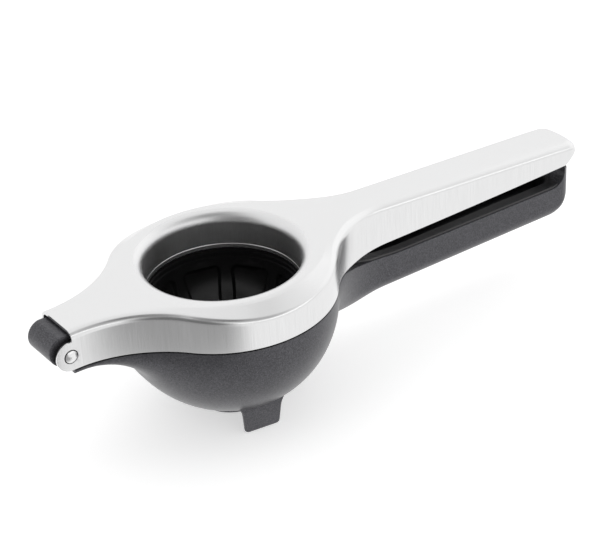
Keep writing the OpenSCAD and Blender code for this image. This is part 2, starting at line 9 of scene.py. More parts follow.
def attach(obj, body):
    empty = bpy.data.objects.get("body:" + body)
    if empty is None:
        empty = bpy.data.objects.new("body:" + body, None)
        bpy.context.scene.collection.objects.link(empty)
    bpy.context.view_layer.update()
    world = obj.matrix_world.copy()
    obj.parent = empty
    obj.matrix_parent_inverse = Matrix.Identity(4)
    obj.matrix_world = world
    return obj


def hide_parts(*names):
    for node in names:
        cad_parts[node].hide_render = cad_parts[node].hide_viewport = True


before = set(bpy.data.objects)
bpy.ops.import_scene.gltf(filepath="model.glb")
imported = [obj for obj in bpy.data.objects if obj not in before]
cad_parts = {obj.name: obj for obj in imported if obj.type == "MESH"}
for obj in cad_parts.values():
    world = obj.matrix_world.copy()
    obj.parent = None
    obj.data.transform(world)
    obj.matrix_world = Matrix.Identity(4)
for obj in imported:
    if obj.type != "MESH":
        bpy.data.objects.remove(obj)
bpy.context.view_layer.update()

# ---- Sizes in millimetres, from the axis of the ring and the top of its plate ----

MID_X = 45.0
STAND_H = 62.0

RING_R = 42.0
SHEET_T = 1.2
FOLD_R = 3.0
CROWN_R = 4.0
CROWN_LEN = 5.8
CROWN_TILT = radians(35)
MIN_CROWN = 0.05
HANDLE_CROWN = 0.2
HANDLE_FOLD_MORE = 0.3
END_FOLD_MORE = 0.8
END_RUN = 16.0
SKIRT_H = 15.6
SKIRT_DIP = 2.5
SKIRT_DIP_START = 27.0
SKIRT_DIP_END = 52.0
SKIRT_RISE = 1.4
SKIRT_FRONT_X = 38.0
HINGE_RISE = 0.7
TONGUE_W = 20.4
TONGUE_X = 69.2
BLEND_R = 45.0
HANDLE_W = 19.4
HANDLE_END_W = 21.6
HANDLE_X = 167.0
HANDLE_CORNER_R = 5.6
HANDLE_BOW_R = 34.0
END_LEAN = 4.3
HANDLE_SLOPE = tan(radians(4.2))
BEND_X = 41.0
BEND_LEN = 8.0
GRIP_RUN = 20.0

COLLAR_R = 28.95
COLLAR_H = 15.05
ROLL_R = 4.5
BEAD_H = 1.8
BEAD_T = 0.14
COLLAR_COUNT = 192
ARM_BEVEL = 0.22

HINGE_X = 70.1
EAR_R = 5.6
SLEEVE_R = 2.72
PIN_R = 2.37
KNUCKLE_R = 6.0
KNUCKLE_RISE = 1.5
KNUCKLE_LEAD = 0.9
KNUCKLE_LEN = 17.0
KNUCKLE_GAP = 0.8
KNUCKLE_LOW = 250.0
BUSH_FLANGE_T = 1.25
BUSH_PLAY = 0.05
PIN_Z = -(SKIRT_H - HINGE_RISE - EAR_R)
KNUCKLE_Y = TONGUE_W / 2 - SHEET_T - BUSH_FLANGE_T - BUSH_PLAY

BOWL_WALL = 2.8
BOWL_SHIFT = 0.75
RIM_GAP = 0.5
RIM_BAND = 1.05
NECK_T = 1.6
NECK_EDGE_R = 1.2
NECK_FILLET_R = 33.0
BOWL_Z = -(SKIRT_H + RIM_GAP + RIM_BAND)
BOWL_IN_R = RING_R - BOWL_WALL
NECK_Z = -(SKIRT_H - HINGE_RISE + RIM_GAP + NECK_T)
FULL_ROUND_X = 30.0
ROUND_END_X = 60.0
GRIP_BOTTOM = 39.4
GRIP_RIM = 24.2
GRIP_RIM_FALL = 1.0
GRIP_PROUD = 0.3
GRIP_CORNER_R = 6.0
GRIP_WALL = 2.2
GRIP_X = 162.3
GRIP_END_R = 10.7
RIM_DROP_X = 42.0
RIM_DROP_LEN = 36.0
LIP_TOP = 17.8
LIP_T = 4.4
LIP_LEAN = 3.75
LIP_FILLET_R = 6.6
LIP_X = GRIP_X - LIP_T
LIP_START_X = LIP_X - LIP_FILLET_R
GRIP_HALF = HANDLE_W / 2 + GRIP_PROUD
GRIP_END_HALF = HANDLE_END_W / 2 + GRIP_PROUD
MIN_CAST_H = 1.5
CAST_SOFT = 0.4
KNUCKLE_SOFT = 0.5

LUG_TOP_R = 29.2
LUG_FOOT_R = 26.5
LUG_TOP_T = 4.0
LUG_FOOT_T = 2.6
LUG_SPAN = 32.0
LUG_ANGLE = 98.5
LUG_H = 14.5
LUG_ROOT_H = 20.0
LUG_CORNER_R = 0.9
LUG_FOOT_EDGE_R = 0.8
LUG_HEEL_R = 1.4
LUG_DRAFT = 1.1
LUG_FLARE = 1.8
LUG_FLARE_H = 8.5
LUG_FLARE_RUN = 5.0
LUG_FLARE_SHARE = 0.8
OUTLET_R = 10.0
OUTLET_WALL = 2.8
OUTLET_CLEAR = 0.3
OUTLET_H = 8.0

CUP_IN_R = COLLAR_R - 0.95
CUP_OUT_R = CUP_IN_R + 3.0
SHELF_Z = -COLLAR_H - 0.1
CUP_Z = SHELF_Z - 1.85
CUP_STEP = 0.35
CUP_STEP_H = 0.5
CUP_LIP_H = 1.4
UPSTAND_PLAY = 0.2
UPSTAND_T = 1.9
UPSTAND_H = 6.5
UPSTAND_FOOT = 0.6
PANEL_COUNT = 9
PANEL_SPAN = radians(30)
PANEL_TOP = 22.3
PANEL_BOTTOM = 38.0
PANEL_DEPTH = 1.3
PANEL_CORNER_R = 2.2
PANEL_ROLL = 0.55
PANEL_DRAW = 0.75
PANEL_TURN = radians(35.5)
RIB_HALF_W = 1.1
RIB_H = 1.2
RIB_ROOT = 0.3
RIB_SUNK = 0.8
RIB_START = radians(7)
RIB_STOP = radians(72)

STRAINER_SEAT = 1.2
STRAINER_RIM_T = 1.1
OVER_SEAT = 5.0
PAST_FOOT = 4.0
LINER_X = 47.0
LINER_INSET = 0.45
LINER_PLAY = 0.15
LINER_LIFT = 0.05
LINER_FLANGE_T = 0.8
LINER_SOFT = 0.25
LINER_FLARE_X = 60.0
LINER_REACH = 0.45
HOLLOW_GAP = 1.2
HOLLOW_CORNER_R = 3.0
HOLLOW_TIP = 0.2
OVER_RIM = 3.0
LINER_END_X = LIP_X - HOLLOW_GAP
TROUGH_HALF_W = 5.9
TROUGH_FLOOR = 33.6
TROUGH_START = 4.0
TROUGH_STOP = 1.5
TROUGH_CORNER_R = 2.5


def mix(a, b, t):
    return a + (b - a) * t


def clamp01(t):
    return min(1.0, max(0.0, t))


def ease(t):
    u = clamp01(t)
    return u * u * (3 - 2 * u)


def steps(count):
    return [i / count for i in range(count + 1)]


def circle(r, count):
    return [(r * cos(2 * pi * k / count), r * sin(2 * pi * k / count)) for k in range(count)]


# ---- Making meshes ----

def to_part(p):
    return ((p[0] - MID_X) / 1000, p[1] / 1000, (p[2] + STAND_H) / 1000)


class Shell:
    """Faces gathered by their corners in millimetres and welded into one closed mesh."""

    def __init__(self):
        self.points = []
        self.faces = []

    def face(self, *corners):
        start = len(self.points)
        self.points.extend(corners)
        self.faces.append(range(start, start + len(corners)))

    def strip(self, a, b, closed=False):
        count = len(a)
        for i in range(count if closed else count - 1):
            j = (i + 1) % count
            self.face(a[i], a[j], b[j], b[i])

    def mesh(self, name, weld=2e-6):
        data = bpy.data.meshes.new(name)
        data.from_pydata([to_part(p) for p in self.points], [], self.faces)
        bm = bmesh.new()
        bm.from_mesh(data)
        bmesh.ops.remove_doubles(bm, verts=bm.verts, dist=weld)
        bmesh.ops.dissolve_degenerate(bm, edges=bm.edges, dist=1e-7)
        bmesh.ops.recalc_face_normals(bm, faces=bm.faces)
        bm.to_mesh(data)
        bm.free()
        return data


def inside(p, loop):
    hit = False
    for (x0, y0), (x1, y1) in zip(loop, loop[1:] + loop[:1]):
        if (y0 > p[1]) != (y1 > p[1]) and p[0] < x0 + (p[1] - y0) * (x1 - x0) / (y1 - y0):
            hit = not hit
    return hit


def triangles(outer, holes=(), extra=()):
    """Triangles that fill a flat outline, without its holes and with extra points inside."""
    points, edges = [], []
    for loop in [outer, *holes]:
        start, count = len(points), len(loop)
        points.extend(loop)
        edges.extend((start + i, start + (i + 1) % count) for i in range(count))
    points.extend(extra)
    found = delaunay_2d_cdt([Vector(p) for p in points], edges, [], 0, 1e-6)
    kept = []
    for tri in found[2]:
        corners = [tuple(found[0][i]) for i in tri]
        mid = (sum(c[0] for c in corners) / 3, sum(c[1] for c in corners) / 3)
        if inside(mid, outer) and not any(inside(mid, hole) for hole in holes):
            kept.append(corners)
    return kept


def loft(name, sections):
    """Closed skin over a row of closed sections."""
    shell = Shell()
    for a, b in zip(sections, sections[1:]):
        shell.strip(a, b, closed=True)
    shell.face(*sections[0])
    shell.face(*sections[-1])
    return shell.mesh(name)


def turned(name, profile, count):
    """Solid turned round the ring's axis from (radius, z) pairs."""
    return loft(name, [[(x, y, z) for x, y in circle(r, count)] for r, z in profile])


def add(name, mesh):
    obj = bpy.data.objects.new(name, mesh)
    bpy.context.scene.collection.objects.link(obj)
    return obj


def bake(obj):
    """Turns the object's modifiers into plain mesh."""
    graph = bpy.context.evaluated_depsgraph_get()
    graph.update()
    mesh = bpy.data.meshes.new_from_object(obj.evaluated_get(graph), preserve_all_data_layers=True,
                                           depsgraph=graph)
    obj.modifiers.clear()
    obj.data = mesh
    mesh.name = obj.name


def combine(obj, meshes, how):
    """Joins other solids to a solid, or cuts them out of it."""
    others = [add(mesh.name, mesh) for mesh in meshes]
    for other in others:
        mod = obj.modifiers.new("combine", "BOOLEAN")
        mod.operation = how
        mod.solver = "EXACT"
        mod.object = other
    bake(obj)
    for other in others:
        bpy.data.objects.remove(other)


def dress(obj, material, body, node, crease=32, bevel=0.0):
    """Shades a finished piece, gives it its material and ties it to the frame."""
    if bevel:
        mod = obj.modifiers.new("edge", "BEVEL")
        mod.width = bevel / 1000
        mod.segments = 3
        mod.limit_method = "ANGLE"
        mod.angle_limit = radians(40)
        mod.use_clamp_overlap = True
        mod.miter_outer = "MITER_ARC"
        bake(obj)
    mesh = obj.data
    mesh.polygons.foreach_set("use_smooth", [True] * len(mesh.polygons))
    mesh.set_sharp_from_angle(angle=radians(crease))
    mod = obj.modifiers.new("shade", "WEIGHTED_NORMAL")
    mod.keep_sharp = True
    mod.weight = 60
    bake(obj)
    obj.data.materials.clear()
    obj.data.materials.append(material)
    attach(obj, body)
    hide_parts(node)


# ---- Plan outline, shared by the two arms ----

def half_outline(tongue_half, grip_half, end_half, end_x):
    """Stations (x, y, normal x, normal y) from the hinge to the middle of the handle end."""
    front = (-sqrt((RING_R + BLEND_R) ** 2 - (tongue_half + BLEND_R) ** 2), tongue_half + BLEND_R)
    back = (sqrt((RING_R + BLEND_R) ** 2 - (grip_half + BLEND_R) ** 2), grip_half + BLEND_R)
    front_a, back_a = atan2(front[1], front[0]), atan2(back[1], back[0])
    bow_x, corner_y = end_x - HANDLE_BOW_R, end_half - HANDLE_CORNER_R
    corner_x = bow_x + sqrt((HANDLE_BOW_R - HANDLE_CORNER_R) ** 2 - corner_y ** 2)
    bow_a = atan2(corner_y, corner_x - bow_x)
    rows = []

    def arc(middle, r, a0, a1, count, turn):
        for t in steps(count)[1:]:
            a = mix(a0, a1, t)
            rows.append((middle[0] + r * cos(a), middle[1] + r * sin(a), turn * cos(a), turn * sin(a)))

    rows.extend((mix(-TONGUE_X, front[0], t), tongue_half, 0.0, 1.0) for t in steps(3))
    arc(front, BLEND_R, -pi / 2, front_a - pi, 26, -1)
    arc((0, 0), RING_R, front_a, back_a, 84, 1)
    arc(back, BLEND_R, pi + back_a, 3 * pi / 2, 26, -1)
    rows.extend((mix(back[0], corner_x, t), mix(grip_half, end_half, t), 0.0, 1.0)
                for t in steps(36)[1:])
    arc((corner_x, corner_y), HANDLE_CORNER_R, pi / 2, bow_a, 12, 1)
    arc((bow_x, 0), HANDLE_BOW_R, bow_a, 0, 8, 1)
    return rows


def mirrored(s):
    return (s[0], -s[1], s[2], -s[3])


def plate_z(x):
    past = x - BEND_X
    if past <= 0:
        return 0.0
    if past < BEND_LEN:
        return -HANDLE_SLOPE * past * past / (2 * BEND_LEN)
    return -HANDLE_SLOPE * (past - BEND_LEN / 2)


def skirt_z(x):
    return (-SKIRT_H
            + HINGE_RISE * ease((-x - SKIRT_FRONT_X) / (TONGUE_X - SKIRT_FRONT_X))
            - SKIRT_DIP * ease((x - SKIRT_DIP_START) / (SKIRT_DIP_END - SKIRT_DIP_START))
            + SKIRT_RISE * clamp01((x - SKIRT_DIP_END) / (HANDLE_X - SKIRT_DIP_END)) ** 2)


# ---- Steel arm: one pressed sheet with a drawn collar and two ears ----

PLANE_X = -66.5
WALL_ROWS = 5


def end_share(s):
    """How far a station belongs to the rounded end of the handle, from 0 to 1."""
    return ease(1 - (HANDLE_X - s[0]) / END_RUN)


def edge_profile(s, t):
    """(inset, depth) pairs from the skirt over fold and crown to the plate, at depth t in the sheet."""
    grip, end = ease((s[0] - BEND_X) / GRIP_RUN), end_share(s)
    share = max(mix(MIN_CROWN, HANDLE_CROWN, grip * (1 - end)), (s[1] / RING_R) ** 2)
    fold = FOLD_R + HANDLE_FOLD_MORE * grip + END_FOLD_MORE * end
    tilt, run = CROWN_TILT * share, CROWN_LEN * share
    drop = CROWN_R * (1 - cos(tilt)) + run * sin(tilt) + fold * cos(tilt)
    reach = fold * (1 - sin(tilt)) + run * cos(tilt) + CROWN_R * sin(tilt)
    rows = []
    for u in steps(12):
        a = mix(pi / 2, tilt, u)
        rows.append((fold * (1 - sin(a)) + t * sin(a), fold * cos(a) - drop - t * cos(a)))
    edge = (reach - (CROWN_R - t) * sin(tilt), -CROWN_R * (1 - cos(tilt)) - t * cos(tilt))
    rows.append((mix(rows[-1][0], edge[0], 0.5), mix(rows[-1][1], edge[1], 0.5)))
    for u in steps(12):
        a = mix(tilt, 0, u)
        rows.append((reach - (CROWN_R - t) * sin(a), -CROWN_R * (1 - cos(a)) - t * cos(a)))
    return rows


def edge_rows(s, t):
    """Points of one station, from the lower edge of the skirt up to the plate."""
    x, y, nx, ny = s
    profile = edge_profile(s, t)
    wall_top = plate_z(x) + profile[0][1]
    rows = []
    for u in (1.0, 0.8, 0.6, 0.4, 0.2):
        back = END_LEAN * end_share(s) * u ** 1.7
        rows.append((x - nx * t - back, y - ny * t, mix(wall_top, skirt_z(x), u)))
    for inset, z in profile:
        px, py = x - nx * inset, y - ny * inset
        rows.append((px, py, plate_z(px) + z))
    return rows


def steel_arm_mesh():
    outline = half_outline(TONGUE_W / 2, HANDLE_W / 2, HANDLE_END_W / 2, HANDLE_X)
    front = [(-TONGUE_X, TONGUE_W / 2, 0.0, 1.0), (PLANE_X, TONGUE_W / 2, 0.0, 1.0)]
    half = front + [s for s in outline if s[0] > PLANE_X + 0.4]
    stations = half + [mirrored(s) for s in reversed(half[:-1])]
    last, mid = len(stations) - 1, len(half) - 1
    out = [edge_rows(s, 0.0) for s in stations]
    inn = [edge_rows(s, SHEET_T) for s in stations]
    shell = Shell()
    for s in range(last):
        low = WALL_ROWS if s in (0, last - 1) else 0
        shell.strip(out[s][low:], out[s + 1][low:])
        shell.strip(inn[s][low:], inn[s + 1][low:])
        if low == 0:
            shell.face(out[s][0], out[s + 1][0], inn[s + 1][0], inn[s][0])
    for s in (0, last):
        shell.strip(out[s][WALL_ROWS:], inn[s][WALL_ROWS:])
    shell.face(out[0][-1], out[last][-1], inn[last][-1], inn[0][-1])

    # Flat plate round the hole, then straight strips across the handle
    cut = max(i for i in range(mid) if out[i][-1][0] < BEND_X - 0.2)
    flat = [out[i][-1] for i in range(cut + 1)] + [out[last - i][-1] for i in range(cut, -1, -1)]
    hole = circle(COLLAR_R + ROLL_R, COLLAR_COUNT)
    for tri in triangles([(p[0], p[1]) for p in flat], [hole]):
        shell.face(*[(x, y, 0.0) for x, y in tri])
        shell.face(*[(x, y, -SHEET_T) for x, y in tri])
    for rows in (out, inn):
        for i in range(cut, mid):
            corners = [rows[i][-1], rows[i + 1][-1], rows[last - i - 1][-1], rows[last - i][-1]]
            shell.face(*(corners if i + 1 < mid else corners[:2] + corners[3:]))

    # Drawn collar with its rolled top and the bead at its foot
    def roll(r, a0, a1):
        return [(COLLAR_R + ROLL_R + r * cos(mix(a0, a1, t)), -ROLL_R + r * sin(mix(a0, a1, t)))
                for t in steps(14)]
    foot, bead = -COLLAR_H, COLLAR_R - BEAD_T
    profile = (roll(ROLL_R, pi / 2, pi)
               + [(COLLAR_R, foot + BEAD_H), (bead, foot + BEAD_H - BEAD_T), (bead, foot + BEAD_T),
                  (bead + BEAD_T, foot), (COLLAR_R + SHEET_T, foot)]
               + roll(ROLL_R - SHEET_T, pi, pi / 2))
    rows = [[(x, y, z) for x, y in circle(r, COLLAR_COUNT)] for r, z in profile]
    for a, b in zip(rows, rows[1:]):
        shell.strip(a, b, closed=True)

    # Side walls at the hinge, with the round ears and the holes for the bushes
    top_z = out[0][WALL_ROWS][2]
    meet = acos((HINGE_X - TONGUE_X) / EAR_R)
    brow = [(PLANE_X, skirt_z(PLANE_X)), (-TONGUE_X, skirt_z(-TONGUE_X))]
    brow += [(-HINGE_X + EAR_R * cos(a), PIN_Z + EAR_R * sin(a))
             for a in [mix(3 * pi / 2, meet, t) for t in steps(56)]]
    brow.append((-TONGUE_X, top_z))
    bore = [(-HINGE_X + x, PIN_Z + z) for x, z in circle(SLEEVE_R, 56)]
    wall = triangles(brow + [(PLANE_X, p[2]) for p in reversed(out[1][1:WALL_ROWS + 1])], [bore])
    for side in (-1, 1):
        y_out, y_in = side * TONGUE_W / 2, side * (TONGUE_W / 2 - SHEET_T)
        for tri in wall:
            shell.face(*[(x, y_out, z) for x, z in tri])
            shell.face(*[(x, y_in, z) for x, z in tri])
        shell.strip([(x, y_out, z) for x, z in brow], [(x, y_in, z) for x, z in brow])
        shell.strip([(x, y_out, z) for x, z in bore], [(x, y_in, z) for x, z in bore], closed=True)
    return shell.mesh("steel_arm")


# ---- Press cup: one sector with its recessed panel, repeated round the axis ----

def panel_outline(grow):
    """Outline of a panel seen along a radius, made larger by an amount all round."""
    def half_width(depth):
        return sqrt(CUP_IN_R ** 2 - (depth + CUP_Z) ** 2) * sin(PANEL_SPAN / 2) - PANEL_CORNER_R
    top_half, low_half = half_width(PANEL_TOP), half_width(PANEL_BOTTOM)
    top_y, low_y = -PANEL_TOP - PANEL_CORNER_R, -PANEL_BOTTOM + PANEL_CORNER_R
    lean = atan((top_half - low_half) / (top_y - low_y))
    r = PANEL_CORNER_R + grow
    half = [(low_half + r * cos(mix(-pi / 2, -lean, t)), low_y + r * sin(mix(-pi / 2, -lean, t)))
            for t in steps(8)]
    side = (top_half + r * cos(-lean), top_y + r * sin(-lean))
    half += [(mix(half[8][0], side[0], t), mix(half[8][1], side[1], t)) for t in steps(8)[1:-1]]
    half += [(top_half + r * cos(mix(-lean, pi / 2, t)), top_y + r * sin(mix(-lean, pi / 2, t)))
             for t in steps(10)]
    return half + [(-y, z) for y, z in reversed(half)]


def cup_angles(y, z):
    """Turn and dip of the point on the cup's inside that is seen at (y, z)."""
    dip = asin((CUP_Z - z) / CUP_IN_R)
    return asin(y / (CUP_IN_R * cos(dip))), dip


def cup_point(turn, dip, r):
    return (r * cos(dip) * cos(turn), r * cos(dip) * sin(turn), CUP_Z - r * sin(dip))


def cup_sector_mesh():
    half_turn = pi / PANEL_COUNT
    shell = Shell()
    top_dip, low_dip = asin(CUP_LIP_H / CUP_IN_R), radians(84)
    turns = [mix(-half_turn, half_turn, t) for t in steps(16)]
    dips = [mix(top_dip, low_dip, t) for t in steps(30)]
    border = ([(a, top_dip) for a in turns] + [(half_turn, d) for d in dips[1:]]
              + [(a, low_dip) for a in reversed(turns[:-1])] + [(-half_turn, d) for d in dips[-2:0:-1]])

    # The rim of a panel rolls over and drops in an S to its floor
    loops = []
    for t in steps(9):
        outline = panel_outline(mix(PANEL_ROLL, -PANEL_DRAW, t))
        loops.append(([cup_angles(y, z) for y, z in outline], CUP_IN_R + PANEL_DEPTH * ease(t)))
    rows = [[cup_point(a, d, r) for a, d in loop] for loop, r in loops]
    for a, b in zip(rows, rows[1:]):
        shell.strip(a, b, closed=True)
    edge, floor = loops[0][0], loops[-1][0]
    grid = [(a, d) for a in turns[1:-1] for d in dips[1:-1]]
    bar = [p for p in grid if not inside((p[0] * 0.94, mix(0.6, p[1], 0.94)), edge)]
    field = [p for p in grid if inside((p[0] * 1.05, mix(0.6, p[1], 1.05)), floor)]
    for tri in triangles(border, [edge], bar):
        shell.face(*[cup_point(a, d, CUP_IN_R) for a, d in tri])
    for tri in triangles(floor, (), field):
        shell.face(*[cup_point(a, d, CUP_IN_R + PANEL_DEPTH) for a, d in tri])

    # Bottom of the dish inside, steps and upstand at the top, and the round outside
    last = [cup_point(a, low_dip, CUP_IN_R) for a in turns]
    for i in range(len(turns) - 1):
        shell.face(last[i], last[i + 1], (0.0, 0.0, CUP_Z - CUP_IN_R))
    up_in = COLLAR_R + SHEET_T + UPSTAND_PLAY
    up_out = up_in + UPSTAND_T
    step_a, step_b = CUP_IN_R + CUP_STEP, CUP_IN_R + 2 * CUP_STEP
    profile = [(CUP_IN_R * cos(top_dip), CUP_Z - CUP_IN_R * sin(top_dip)),
               (step_a, CUP_Z - CUP_LIP_H), (step_a, CUP_Z + CUP_STEP_H), (step_b, CUP_Z + CUP_STEP_H),
               (step_b, SHELF_Z), (up_in, SHELF_Z), (up_in, SHELF_Z + UPSTAND_H),
               (up_out, SHELF_Z + UPSTAND_H), (up_out, CUP_Z + UPSTAND_FOOT)]
    profile += [(CUP_OUT_R * cos(d), CUP_Z - CUP_OUT_R * sin(d))
                for d in [mix(0, radians(88), t) for t in steps(36)]]
    lines = [[(r * cos(a), r * sin(a), z) for a in turns] for r, z in profile]
    for a, b in zip(lines, lines[1:]):
        shell.strip(a, b)
    for i in range(len(turns) - 1):
        shell.face(lines[-1][i], lines[-1][i + 1], (0.0, 0.0, CUP_Z - CUP_OUT_R))
    return shell.mesh("cup_sector")


def cup_rib_mesh():
    """One pressing rib, a crescent with a rounded back."""
    sections = []
    for t in steps(28):
        dip = mix(RIB_START, RIB_STOP, t)
        fade = min(1.0, 6 * t, 6 * (1 - t))
        rise = RIB_H * sqrt(max(0.02, 1 - (1 - fade) ** 2))
        ring = [(RIB_HALF_W * cos(pi * u), CUP_OUT_R - RIB_ROOT + (rise + RIB_ROOT) * sin(pi * u) ** 0.6)
                for u in steps(8)]
        ring += [(-RIB_HALF_W, CUP_OUT_R - RIB_SUNK), (RIB_HALF_W, CUP_OUT_R - RIB_SUNK)]
        sections.append([(r * cos(dip), y, CUP_Z - r * sin(dip)) for y, r in ring])
    return loft("cup_rib", sections)


def round_the_axis(name, mesh, count, first, material, weld):
    """Geometry Nodes: repeats a mesh round the ring's axis and welds the copies."""
    holder = add(name, bpy.data.meshes.new(name))
    source = add(name + "_source", mesh)
    tree = bpy.data.node_groups.new(name + "_round", "GeometryNodeTree")
    face = tree.interface
    face.new_socket("Geometry", in_out="OUTPUT", socket_type="NodeSocketGeometry")
    face.new_socket("Geometry", in_out="INPUT", socket_type="NodeSocketGeometry")
    sockets = {}
    for label, kind in (("Sector", "NodeSocketObject"), ("Count", "NodeSocketInt"),
                        ("First turn", "NodeSocketFloat"), ("Axis x", "NodeSocketFloat"),
                        ("Weld", "NodeSocketFloat"), ("Finish", "NodeSocketMaterial")):
        sockets[label] = face.new_socket(label, in_out="INPUT", socket_type=kind).identifier
    new, link = tree.nodes.new, tree.links.new
    given, result = new("NodeGroupInput"), new("NodeGroupOutput")
    info = new("GeometryNodeObjectInfo")
    link(given.outputs["Sector"], info.inputs["Object"])
    points = new("GeometryNodePoints")
    link(given.outputs["Count"], points.inputs["Count"])
    place = new("ShaderNodeCombineXYZ")
    link(given.outputs["Axis x"], place.inputs["X"])
    link(place.outputs[0], points.inputs["Position"])
    index = new("GeometryNodeInputIndex")
    share, turn = new("ShaderNodeMath"), new("ShaderNodeMath")
    share.operation, turn.operation = "DIVIDE", "MULTIPLY_ADD"
    link(index.outputs[0], share.inputs[0])
    link(given.outputs["Count"], share.inputs[1])
    link(share.outputs[0], turn.inputs[0])
    turn.inputs[1].default_value = 2 * pi
    link(given.outputs["First turn"], turn.inputs[2])
    angle = new("ShaderNodeCombineXYZ")
    link(turn.outputs[0], angle.inputs["Z"])
    instances = new("GeometryNodeInstanceOnPoints")
    link(points.outputs[0], instances.inputs["Points"])
    link(info.outputs["Geometry"], instances.inputs["Instance"])
    link(angle.outputs[0], instances.inputs["Rotation"])
    real = new("GeometryNodeRealizeInstances")
    link(instances.outputs[0], real.inputs[0])
    merge = new("GeometryNodeMergeByDistance")
    link(real.outputs[0], merge.inputs["Geometry"])
    link(given.outputs["Weld"], merge.inputs["Distance"])
    finish = new("GeometryNodeSetMaterial")
    link(merge.outputs[0], finish.inputs["Geometry"])
    link(given.outputs["Finish"], finish.inputs["Material"])
    link(finish.outputs[0], result.inputs[0])
    mod = holder.modifiers.new("round", "NODES")
    mod.node_group = tree
    mod[sockets["Sector"]] = source
    mod[sockets["Count"]] = count
    mod[sockets["First turn"]] = first
    mod[sockets["Axis x"]] = -MID_X / 1000
    mod[sockets["Weld"]] = weld
    mod[sockets["Finish"]] = material
    bake(holder)
    bpy.data.objects.remove(source)
    return holder


def about_axis(mesh):
    """Moves a mesh so that the ring's axis runs through the origin."""
    mesh.transform(Matrix.Translation((MID_X / 1000, 0, 0)))
    return mesh


# ---- Casting ----

GRIP_OUTLINE = half_outline(TONGUE_W / 2, GRIP_HALF, GRIP_END_HALF, GRIP_X)


def grip_half_at(x):
    if x <= GRIP_OUTLINE[0][0]:
        return GRIP_OUTLINE[0][1]
    for a, b in zip(GRIP_OUTLINE, GRIP_OUTLINE[1:]):
        if a[0] <= x <= b[0] and b[0] > a[0]:
            return mix(a[1], b[1], (x - a[0]) / (b[0] - a[0]))
    return GRIP_OUTLINE[-1][1]


def rim_z(x):
    if x < RIM_DROP_X:
        return skirt_z(x) - RIM_GAP
    if x >= LIP_X:
        return -LIP_TOP - LIP_LEAN * max(0.0, x - GRIP_X + LIP_T / 2)
    level_x = RIM_DROP_X + RIM_DROP_LEN
    low = -GRIP_RIM - GRIP_RIM_FALL * clamp01((x - level_x) / (LIP_X - level_x))
    drop = 1 - (1 - clamp01((x - RIM_DROP_X) / RIM_DROP_LEN)) ** 2
    reach = clamp01((x - LIP_START_X) / LIP_FILLET_R)
    return mix(skirt_z(RIM_DROP_X) - RIM_GAP, low, drop) + LIP_FILLET_R * (1 - sqrt(1 - reach * reach))


NECK_FILLET_X = -BOWL_SHIFT - sqrt((RING_R + NECK_FILLET_R) ** 2
                                   - (NECK_FILLET_R + BOWL_Z - NECK_Z) ** 2)
NECK_END_X = -BOWL_SHIFT + (NECK_FILLET_X + BOWL_SHIFT) * RING_R / (RING_R + NECK_FILLET_R)


def under_z(x):
    bowl = BOWL_Z - sqrt(max(0.0, RING_R ** 2 - (x + BOWL_SHIFT) ** 2))
    if x < NECK_FILLET_X:
        return NECK_Z
    if x < NECK_END_X:
        return NECK_Z - NECK_FILLET_R + sqrt(NECK_FILLET_R ** 2 - (x - NECK_FILLET_X) ** 2)
    if x < 0:
        return bowl
    if x < GRIP_X - GRIP_END_R:
        return min(bowl, -GRIP_BOTTOM)
    return GRIP_END_R - GRIP_BOTTOM - sqrt(max(0.0, GRIP_END_R ** 2 - (x - GRIP_X + GRIP_END_R) ** 2))


def edge_r(x, half):
    if x < 0:
        return mix(NECK_EDGE_R, half, ease((x - NECK_FILLET_X) / (-FULL_ROUND_X - NECK_FILLET_X)))
    return mix(half, GRIP_CORNER_R, ease((x - FULL_ROUND_X) / (ROUND_END_X - FULL_ROUND_X)))


def cast_section(x, half, top, bottom, corner, soft=0.0):
    """Closed section of the casting, with soft upper edges where asked for."""
    r = min(corner, 0.998 * half, 0.9 * (top - bottom))
    side = [(x, half, top)]
    if soft:
        side = [(x, half - soft * (1 - cos(a)), top - soft * (1 - sin(a))) for a in (pi / 2, pi / 4, 0)]
    side += [(x, half - r * (1 - cos(a)), bottom + r * (1 - sin(a)))
             for a in [pi / 2 * t for t in steps(26)]]
    return side + [(x, -y, z) for x, y, z in reversed(side)]


def cast_places():
    places = [s[0] for s in GRIP_OUTLINE if s[0] < LIP_START_X - 0.5]
    places += [NECK_END_X, NECK_FILLET_X, 0.02]
    places += [mix(RIM_DROP_X, LIP_START_X, t) for t in steps(60)[:-1]]
    places += [LIP_START_X + LIP_FILLET_R * sin(pi / 2 * t) for t in steps(12)]
    end = [s[0] for s in GRIP_OUTLINE[:-8]]
    places += [x for x in end if x > LIP_X + 0.15]
    places = sorted(places)
    kept = [places[0]]
    for x in places[1:]:
        if x - kept[-1] > 0.06:
            kept.append(x)
    return kept


def casting_mesh():
    sections = []
    for x in cast_places():
        half, rim = grip_half_at(x), rim_z(x)
        low = min(under_z(x), rim - MIN_CAST_H)
        sections.append(cast_section(x, half, rim, low, edge_r(x, half), CAST_SOFT))
    return loft("casting", sections)


